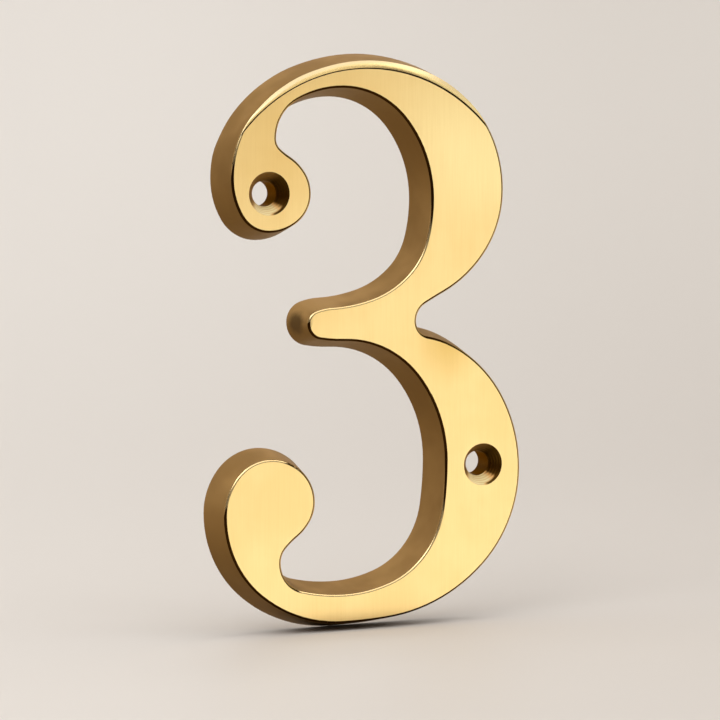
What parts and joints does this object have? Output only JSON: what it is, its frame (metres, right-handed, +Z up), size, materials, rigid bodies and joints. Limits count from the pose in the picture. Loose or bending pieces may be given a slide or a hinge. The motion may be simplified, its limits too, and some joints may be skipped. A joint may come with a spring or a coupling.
{
  "type": "brass door number",
  "caption": "Cast brass door numeral, the figure 3, with tapered walls, a turned facet along its crown and countersunk screw holes for fixing it flat to a door or wall.",
  "frame": {"origin": "on the flat back, at the middle of the width, on the waist line through the spur's tip and the notch between the bowls", "axes": "+X to the right as the numeral reads, +Y out of the flat back into the wall, +Z up; the face looks along -Y"},
  "size_m": [0.06, 0.0066, 0.1017],
  "materials": {
    "cast_brass": "face and facet polished and finely brushed, side walls a duller satin, holes turned"
  },
  "bodies": {
    "root": {"numeral_three": "cast_brass"}
  },
  "joints": []
}
